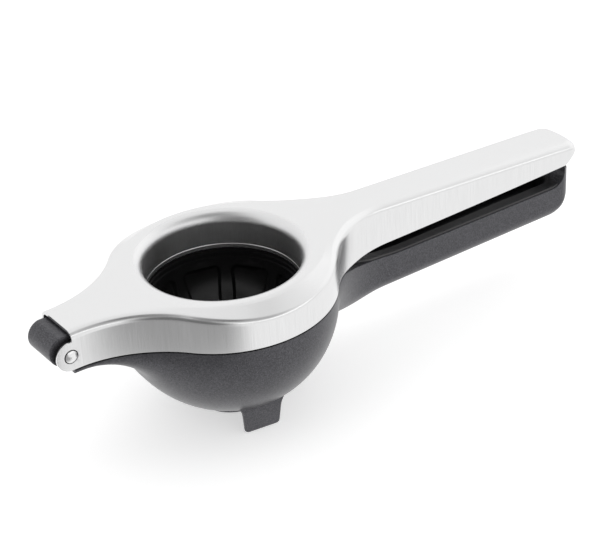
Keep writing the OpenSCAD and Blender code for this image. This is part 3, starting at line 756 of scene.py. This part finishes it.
def knuckle_mesh():
    mid = (-HINGE_X - KNUCKLE_LEAD, PIN_Z + KNUCKLE_RISE)
    top = -SHEET_T - KNUCKLE_GAP
    first = 180 - degrees(asin((top - mid[1]) / KNUCKLE_R))
    sunk = NECK_Z + NECK_T / 3
    back = -RING_R + BOWL_WALL / 2
    outline = [(mid[0] + KNUCKLE_R * cos(radians(a)), mid[1] + KNUCKLE_R * sin(radians(a)))
               for a in [mix(first, KNUCKLE_LOW, t) for t in steps(40)]]
    outline += [(-TONGUE_X + KNUCKLE_GAP, sunk), (back, sunk), (back, -SKIRT_H - RIM_GAP),
                (-HINGE_X + KNUCKLE_LEN, top)]
    middle = (-HINGE_X + 0.5, PIN_Z)

    def drawn(y, inset):
        points = []
        for x, z in outline:
            away = sqrt((x - middle[0]) ** 2 + (z - middle[1]) ** 2)
            k = 1 - inset / away
            points.append((middle[0] + (x - middle[0]) * k, y, middle[1] + (z - middle[1]) * k))
        return points
    rows = [drawn(-KNUCKLE_Y + KNUCKLE_SOFT * (1 - cos(a)), KNUCKLE_SOFT * (1 - sin(a)))
            for a in [pi / 2 * t for t in steps(4)]]
    rows += [[(x, -y, z) for x, y, z in row] for row in reversed(rows)]
    return loft("knuckle", rows)


def round_in(r, h):
    """How far a lower edge with a radius is drawn in at a height."""
    return r - sqrt(max(0.0, r * r - (r - min(h, r)) ** 2))


def lug_mesh(turn):
    """Support lug: a bent tapered tab with rounded edges that flares into the bowl.

    A lug at the side has more draft on its edge away from the handle.
    """
    sections = []
    levels = ([0.0, 0.06, 0.2, 0.4, 0.7, 1.1, 1.6] + [mix(2.2, 9.0, t) for t in steps(6)]
              + [9.8, 10.6, 11.4, 12.2, 13.0, LUG_H, LUG_ROOT_H])
    for h in levels:
        out_r = mix(LUG_FOOT_R, LUG_TOP_R, clamp01(h / LUG_H))
        in_r = mix(LUG_FOOT_R - LUG_FOOT_T, LUG_TOP_R - LUG_TOP_T, h / LUG_ROOT_H)
        mid_r = 0.5 * (out_r + in_r)
        flare = LUG_FLARE * clamp01((h - LUG_FLARE_H) / LUG_FLARE_RUN) ** 2
        flare -= round_in(LUG_FOOT_EDGE_R, h)
        draft = LUG_DRAFT * clamp01(h / LUG_H) ** 1.3
        span = radians(LUG_SPAN / 2) * mid_r + max(0.0, flare) - round_in(LUG_HEEL_R, h)
        inner, outer = in_r - flare * LUG_FLARE_SHARE, out_r + min(0.0, flare) * LUG_FLARE_SHARE
        row = []
        for su, sv, first in ((1, 1, 0), (-1, 1, 90), (-1, -1, 180), (1, -1, 270)):
            u = su * (span + (draft if su * turn > 0 else 0) - LUG_CORNER_R)
            v = (outer if sv > 0 else inner) - sv * LUG_CORNER_R
            for k in range(6):
                a = radians(first + 18 * k)
                away, along = v + LUG_CORNER_R * sin(a), turn + (u + LUG_CORNER_R * cos(a)) / mid_r
                row.append((away * cos(along), away * sin(along), -STAND_H + h))
        sections.append(row)
    return loft("lug", sections)


def outlet_mesh():
    r, foot = OUTLET_R + OUTLET_WALL, -STAND_H + OUTLET_CLEAR
    return turned("outlet", [(r, foot), (r, foot + OUTLET_H)], 96)


def pin_bore_mesh():
    half = 2 * TONGUE_W
    return loft("pin_bore", [[(-HINGE_X + x, y, PIN_Z + z) for x, z in circle(PIN_R, 64)]
                             for y in (-half, half)])


def bowl_hollow_mesh():
    """Round hollow of the bowl with the seat for the strainer and the outlet bore."""
    seat_r, seat_z = BOWL_IN_R + STRAINER_SEAT, -SKIRT_H - RIM_GAP - STRAINER_RIM_T
    profile = [(seat_r, OVER_SEAT), (seat_r, seat_z), (BOWL_IN_R, seat_z)]
    stop = acos(OUTLET_R / BOWL_IN_R)
    profile += [(BOWL_IN_R * cos(stop * t), BOWL_Z - BOWL_IN_R * sin(stop * t)) for t in steps(40)]
    profile.append((OUTLET_R, -STAND_H - PAST_FOOT))
    return turned("bowl_hollow", profile, 128)


def hollow_mesh(name, start_x, end_x, half, floor_z, corner, rise):
    """Trough-shaped solid with round ends that follows the rim of the casting."""
    places = ([start_x + half * (1 - sin(radians(a))) for a in range(90, 0, -9)]
              + [mix(start_x + half, end_x - half, t) for t in steps(60)]
              + [end_x - half * (1 - sin(radians(a))) for a in range(9, 91, 9)])
    sections = []
    for x in places:
        near, far = clamp01((start_x + half - x) / half), clamp01((x - end_x + half) / half)
        width = half * sqrt(max(0.0, 1 - max(near, far) ** 2)) + HOLLOW_TIP
        sections.append(cast_section(x, width, rim_z(min(x, end_x)) + rise, floor_z, corner))
    return loft(name, sections)


def liner_flange_mesh():
    # Stations lie between those of the trough, so that cutting it leaves no slivers
    start, stop = LINER_X + TROUGH_START + TROUGH_HALF_W, LINER_END_X - TROUGH_STOP - TROUGH_HALF_W
    places = ([mix(LINER_X + 0.5, start, t) for t in steps(8)][:-1]
              + [mix(start, stop, (i + 0.5) / 60) for i in range(60)]
              + [mix(stop, LIP_START_X + LIP_FILLET_R * LINER_REACH, t) for t in steps(5)][1:])
    rows = []
    for x in places:
        half, low = grip_half_at(max(x, LINER_FLARE_X)) - LINER_INSET, rim_z(x) + LINER_LIFT
        top = low + LINER_FLANGE_T
        side = [(x, half - LINER_SOFT, top), (x, half, top - LINER_SOFT), (x, half, low)]
        rows.append(side + [(x, -y, z) for x, y, z in reversed(side)])
    return loft("liner_flange", rows)


# ---- Finishes ----

class Nodes:
    """Short ways to add nodes to one tree, with their values and links."""

    def __init__(self, tree):
        self.tree = tree
        self.link = tree.links.new

    def add(self, kind, **values):
        node = self.tree.nodes.new(kind)
        for key, value in values.items():
            if key in node.inputs:
                node.inputs[key].default_value = value
            else:
                setattr(node, key, value)
        return node

    def place(self):
        return self.add("ShaderNodeTexCoord").outputs["Object"]

    def maths(self, how, a, b):
        """Math on two values, each a number or the output of a node."""
        node = self.add("ShaderNodeMath", operation=how)
        for socket, value in zip(node.inputs, (a, b)):
            if isinstance(value, float):
                socket.default_value = value
            else:
                self.link(value, socket)
        return node.outputs[0]

    def vector(self, how, source, *fixed):
        """Vector math on the output of a node and on fixed vectors."""
        node = self.add("ShaderNodeVectorMath", operation=how)
        self.link(source, node.inputs[0])
        for i, value in enumerate(fixed):
            node.inputs[i + 1].default_value = value
        return node.outputs["Value" if how in ("LENGTH", "DOT_PRODUCT") else "Vector"]

    def from_axis(self, keep, shift):
        """Distance from an axis: the kept coordinates, shifted so that the axis is at 0."""
        return self.vector("LENGTH", self.vector("MULTIPLY_ADD", self.place(), keep, shift))

    def soft_range(self, source, start, stop, first, last):
        """Changes softly from first to last while the source goes from start to stop."""
        node = self.add("ShaderNodeMapRange", interpolation_type="SMOOTHSTEP",
                        **{"From Min": start, "From Max": stop, "To Min": first, "To Max": last})
        self.link(source, node.inputs["Value"])
        return node.outputs[0]

    def noise(self, scale, size, detail, rough):
        """Noise on object coordinates, stretched by a scale for each axis."""
        mapping = self.add("ShaderNodeMapping", Scale=scale)
        noise = self.add("ShaderNodeTexNoise", Scale=size, Detail=detail, Roughness=rough)
        self.link(self.place(), mapping.inputs["Vector"])
        self.link(mapping.outputs[0], noise.inputs["Vector"])
        return noise.outputs["Fac"]

    def ramp(self, source, stops):
        node = self.add("ShaderNodeValToRGB")
        line = node.color_ramp
        while len(line.elements) < len(stops):
            line.elements.new(0.5)
        for element, (at, value) in zip(line.elements, stops):
            element.position = at
            element.color = (*value, 1) if isinstance(value, tuple) else (value, value, value, 1)
        self.link(source, node.inputs["Fac"])
        return node.outputs["Color"]

    def bump(self, shader, height, strength, distance):
        node = self.add("ShaderNodeBump", Strength=strength, Distance=distance)
        self.link(height, node.inputs["Height"])
        self.link(node.outputs[0], shader.inputs["Normal"])


def new_finish(name, settings):
    """Material with fixed values on its shader, and the nodes to add to it."""
    made = bpy.data.materials.new(name)
    made.use_nodes = True
    shader = made.node_tree.nodes["Principled BSDF"]
    for key, value in settings.items():
        shader.inputs[key].default_value = value
    return made, shader, Nodes(made.node_tree)


def brushed_steel():
    """Satin stainless with upright brushing on its walls and a duller drawn collar."""
    made, shader, nodes = new_finish("brushed_steel", {"Metallic": 1.0})
    hair = nodes.noise((1, 1, 0.03), 2800, 3.0, 0.65)
    tone = nodes.ramp(hair, [(0.25, (0.72, 0.72, 0.722)), (0.75, (0.785, 0.785, 0.787))])
    nodes.link(tone, shader.inputs["Base Color"])
    rough = nodes.ramp(nodes.noise((1, 1, 0.25), 160, 1.0, 0.5), [(0.3, 0.21), (0.7, 0.25)])
    drawn = nodes.soft_range(nodes.from_axis((1, 1, 0), (MID_X / 1000, 0, 0)),
                             (COLLAR_R + ROLL_R) / 1000, (COLLAR_R + 0.5) / 1000, 0.0, 0.16)
    nodes.link(nodes.maths("ADD", rough, drawn), shader.inputs["Roughness"])
    nodes.bump(shader, hair, 0.13, 0.00002)
    return made


def cast_metal():
    """Anthracite metallic paint with fine flakes, over the soft skin of a casting."""
    made, shader, nodes = new_finish("anthracite_casting", {"Metallic": 0.55, "Roughness": 0.38,
                                                            "Coat Weight": 0.15, "Coat Roughness": 0.35})
    cells = nodes.add("ShaderNodeTexVoronoi", Scale=3200)
    nodes.link(nodes.place(), cells.inputs["Vector"])
    flake = nodes.ramp(cells.outputs["Color"],
                       [(0.0, (0.038, 0.037, 0.043)), (0.5, (0.069, 0.068, 0.076)),
                        (0.9, (0.109, 0.108, 0.119)), (1.0, (0.149, 0.147, 0.162))])
    shade = nodes.ramp(nodes.noise((1, 1, 1), 90, 3.0, 0.6), [(0.35, 0.92), (0.65, 1.0)])
    both = nodes.add("ShaderNodeMix", data_type="RGBA", blend_type="MULTIPLY")
    both.inputs[0].default_value = 1.0
    nodes.link(flake, both.inputs[6])
    nodes.link(shade, both.inputs[7])
    nodes.link(both.outputs[2], shader.inputs["Base Color"])
    nodes.bump(shader, nodes.noise((1, 1, 1), 1500, 4.0, 0.6), 0.35, 0.00003)
    return made


def moulded(name, color, low, high, skin_depth=0.00001, gloss=0.5):
    """Moulded plastic: a near-even colour, a faint flow in the gloss and a fine skin."""
    made, shader, nodes = new_finish(name, {"Specular IOR Level": gloss})
    flow = nodes.noise((1, 1, 1), 140, 3.0, 0.5)
    tone = nodes.ramp(flow, [(0.1, tuple(0.8 * c for c in color)), (0.9, color)])
    nodes.link(tone, shader.inputs["Base Color"])
    nodes.link(nodes.ramp(flow, [(0.1, low), (0.9, high)]), shader.inputs["Roughness"])
    nodes.bump(shader, nodes.noise((1, 1, 1), 2600, 2.0, 0.5), 0.2, skin_depth)
    return made


def turned_steel():
    """Bright pin metal with faint rings from turning round the pin's own axis."""
    made, shader, nodes = new_finish("turned_steel", {"Metallic": 1.0})
    away = nodes.from_axis((1, 0, 1), ((HINGE_X + MID_X) / 1000, 0, -(PIN_Z + STAND_H) / 1000))
    noise = nodes.add("ShaderNodeTexNoise", Scale=9000.0, Detail=2.0, noise_dimensions="1D")
    nodes.link(away, noise.inputs["W"])
    rings = noise.outputs["Fac"]
    nodes.link(nodes.ramp(rings, [(0.3, 0.74), (0.7, 0.86)]), shader.inputs["Base Color"])
    nodes.link(nodes.ramp(rings, [(0.3, 0.2), (0.7, 0.3)]), shader.inputs["Roughness"])
    nodes.bump(shader, rings, 0.15, 0.00001)
    return made


STEEL = brushed_steel()
CASTING = cast_metal()
GLOSS = moulded("gloss_black_moulding", (0.009, 0.009, 0.0095), 0.2, 0.27, 0.000004, 0.4)
NYLON = moulded("black_nylon", (0.018, 0.018, 0.019), 0.38, 0.5)
LINER = moulded("liner_grey", (0.03, 0.03, 0.032), 0.26, 0.36)
PIN = turned_steel()

# ---- The pieces ----

arm = add("pressed_steel_arm", steel_arm_mesh())
dress(arm, STEEL, "steel_arm", "upper_arm", bevel=ARM_BEVEL)

cup = round_the_axis("panelled_press_cup", about_axis(cup_sector_mesh()), PANEL_COUNT,
                     PANEL_TURN, GLOSS, 0.000004)
ribs = round_the_axis("press_cup_ribs", about_axis(cup_rib_mesh()), PANEL_COUNT,
                      PANEL_TURN + pi / PANEL_COUNT, GLOSS, 0.0000001)
dress(cup, GLOSS, "steel_arm", "press_cup", crease=40)
dress(ribs, GLOSS, "steel_arm", "press_cup", crease=40)

casting = add("cast_bowl_arm", casting_mesh())
lugs = [lug_mesh(radians(a)) for a in (-LUG_ANGLE, 0, LUG_ANGLE)]
grip_hollow = hollow_mesh("grip_hollow", LINER_X, LINER_END_X, GRIP_HALF - GRIP_WALL,
                          -GRIP_BOTTOM + GRIP_WALL, HOLLOW_CORNER_R, OVER_RIM)
combine(casting, [knuckle_mesh(), outlet_mesh(), *lugs], "UNION")
combine(casting, [bowl_hollow_mesh(), grip_hollow, pin_bore_mesh()], "DIFFERENCE")
dress(casting, CASTING, "cast_arm", "lower_arm", crease=34)

liner = add("grip_liner", liner_flange_mesh())
liner_body = hollow_mesh("liner_body", LINER_X + LINER_PLAY, LINER_END_X - LINER_PLAY,
                         GRIP_HALF - GRIP_WALL - LINER_PLAY, -GRIP_BOTTOM + GRIP_WALL + LINER_PLAY,
                         HOLLOW_CORNER_R, LINER_FLANGE_T / 2)
trough = hollow_mesh("trough", LINER_X + TROUGH_START, LINER_END_X - TROUGH_STOP,
                     TROUGH_HALF_W, -TROUGH_FLOOR, TROUGH_CORNER_R, OVER_RIM)
combine(liner, [liner_body], "UNION")
combine(liner, [trough], "DIFFERENCE")
dress(liner, LINER, "cast_arm", "handle_liner", crease=34)

for node_name, finish in (("strainer_insert", NYLON), ("hinge_pin", PIN),
                          ("near_hinge_bush", NYLON), ("far_hinge_bush", NYLON)):
    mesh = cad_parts[node_name].data
    mesh.materials.clear()
    mesh.materials.append(finish)

# ---- Studio ----

FLOOR_HALF = 6
FLOOR_Z = -0.0002
FLOOR_GLOW = 0.52
# Painted light and shade on the floor as gloss sees it: its glow, and the point and direction of the
# painted shade in that glow.
TABLE_LIGHT = 1.1
TABLE_MIDDLE = (-0.05, -0.03, 0)
PAINTED_SHADE_WAY = (-0.85, -0.53, 0)

# The room is white and a little brighter on the right. It has one dark part low in front on
# the left, and two grey ones high in front. For each part: its direction, the cosines where
# it starts and where it is full, and how bright it is there.
ROOM_PARTS = (
    ((0.48, 0.7, 0.53), 0.6, 0.98, 1.03),
    ((0.9, 0.05, 0.35), 0.8, 0.97, 1.22),
    ((-0.8, -0.57, 0.2), 0.743, 0.94, 0.18),
    ((0.12, -0.62, 0.78), 0.88, 0.985, 0.5),
    ((-0.27, -0.39, 0.88), 0.9, 0.975, 0.3),
)


def floor_finish():
    """Pale floor that keeps the object's shadow.

    Gloss sees it as a glowing light table, with painted shade on it in front on the left.
    """
    made, shader, nodes = new_finish("pale_floor", {"Base Color": (0.8, 0.8, 0.8, 1), "Roughness": 0.9,
                                                    "Specular IOR Level": 0.0})
    seen = nodes.add("ShaderNodeLightPath")
    glow, shaded = nodes.add("ShaderNodeEmission"), nodes.add("ShaderNodeAddShader")
    lift = nodes.maths("MULTIPLY", seen.outputs["Is Camera Ray"], FLOOR_GLOW)
    nodes.link(lift, glow.inputs["Strength"])
    nodes.link(shader.outputs[0], shaded.inputs[0])
    nodes.link(glow.outputs[0], shaded.inputs[1])
    # Painted shade: the glow that gloss sees is lowered by up to 0.7 in a patch in front on the left.
    away = nodes.vector("SUBTRACT", nodes.place(), TABLE_MIDDLE)
    left = nodes.vector("DOT_PRODUCT", nodes.vector("NORMALIZE", away), PAINTED_SHADE_WAY)
    painted_shade = nodes.maths("MULTIPLY", nodes.soft_range(left, 0.66, 0.98, 0.0, 0.7),
                         nodes.soft_range(nodes.vector("LENGTH", away), 0.045, 0.1, 0.0, 1.0))
    table, pick = nodes.add("ShaderNodeEmission"), nodes.add("ShaderNodeMixShader")
    nodes.link(nodes.maths("SUBTRACT", TABLE_LIGHT, painted_shade), table.inputs["Strength"])
    nodes.link(seen.outputs["Is Glossy Ray"], pick.inputs[0])
    nodes.link(shaded.outputs[0], pick.inputs[1])
    nodes.link(table.outputs[0], pick.inputs[2])
    nodes.link(pick.outputs[0], made.node_tree.nodes["Material Output"].inputs["Surface"])
    return made


floor = add("floor", bpy.data.meshes.new("floor"))
corners = [(x * FLOOR_HALF, y * FLOOR_HALF, FLOOR_Z) for x, y in ((-1, -1), (1, -1), (1, 1), (-1, 1))]
floor.data.from_pydata(corners, [], [(0, 1, 2, 3)])
floor.data.materials.append(floor_finish())

world = bpy.data.worlds.new("studio")
bpy.context.scene.world = world
world.use_nodes = True
room = world.node_tree.nodes["Background"]
room.inputs["Color"].default_value = (1, 1, 1, 1)
nodes = Nodes(world.node_tree)
compass = nodes.add("ShaderNodeTexCoord").outputs["Generated"]
light = 1.0
for middle, start, stop, most in ROOM_PARTS:
    near = nodes.vector("DOT_PRODUCT", compass, Vector(middle).normalized())
    light = nodes.maths("MULTIPLY", light, nodes.soft_range(near, start, stop, 1.0, most))
seen = nodes.add("ShaderNodeLightPath").outputs["Is Camera Ray"]
nodes.link(nodes.maths("MAXIMUM", light, seen), room.inputs["Strength"])


def lamp(name, at, aim, size, power):
    data = bpy.data.lights.new(name, "AREA")
    data.shape = "RECTANGLE"
    data.size, data.size_y = size
    data.energy = power
    obj = bpy.data.objects.new(name, data)
    obj.location = at
    obj.rotation_euler = (Vector(aim) - Vector(at)).to_track_quat("-Z", "Y").to_euler()
    bpy.context.scene.collection.objects.link(obj)


lamp("key", (0.63, 0.91, 0.72), (0, 0, 0.04), (1.3, 0.9), 0.25)
lamp("front_strip", (0.3, -1.05, 0.53), (0, 0, 0.03), (1.6, 0.14), 0.55)

# ---- Camera ----

TURN, RISE, ROLL = radians(-34.613), radians(31.953), radians(-3.139)
AIM = (10.724, -33.413, 0.0)
AWAY = 0.7
LENS = 119.36
back = Vector((sin(TURN) * cos(RISE), -cos(TURN) * cos(RISE), sin(RISE)))
right = Vector((cos(TURN), sin(TURN), 0))
up = right.cross(-back)
right, up = right * cos(ROLL) + up * sin(ROLL), up * cos(ROLL) - right * sin(ROLL)
camera = bpy.data.objects.new("camera", bpy.data.cameras.new("camera"))
camera.data.lens = LENS
camera.data.sensor_width = 36
camera.data.clip_start = 0.05
turned_view = Matrix((right, up, back)).transposed().to_4x4()
camera.matrix_world = Matrix.Translation(Vector(to_part(AIM)) + back * AWAY) @ turned_view
bpy.context.scene.collection.objects.link(camera)
bpy.context.scene.camera = camera
bpy.context.scene.view_settings.view_transform = "Standard"
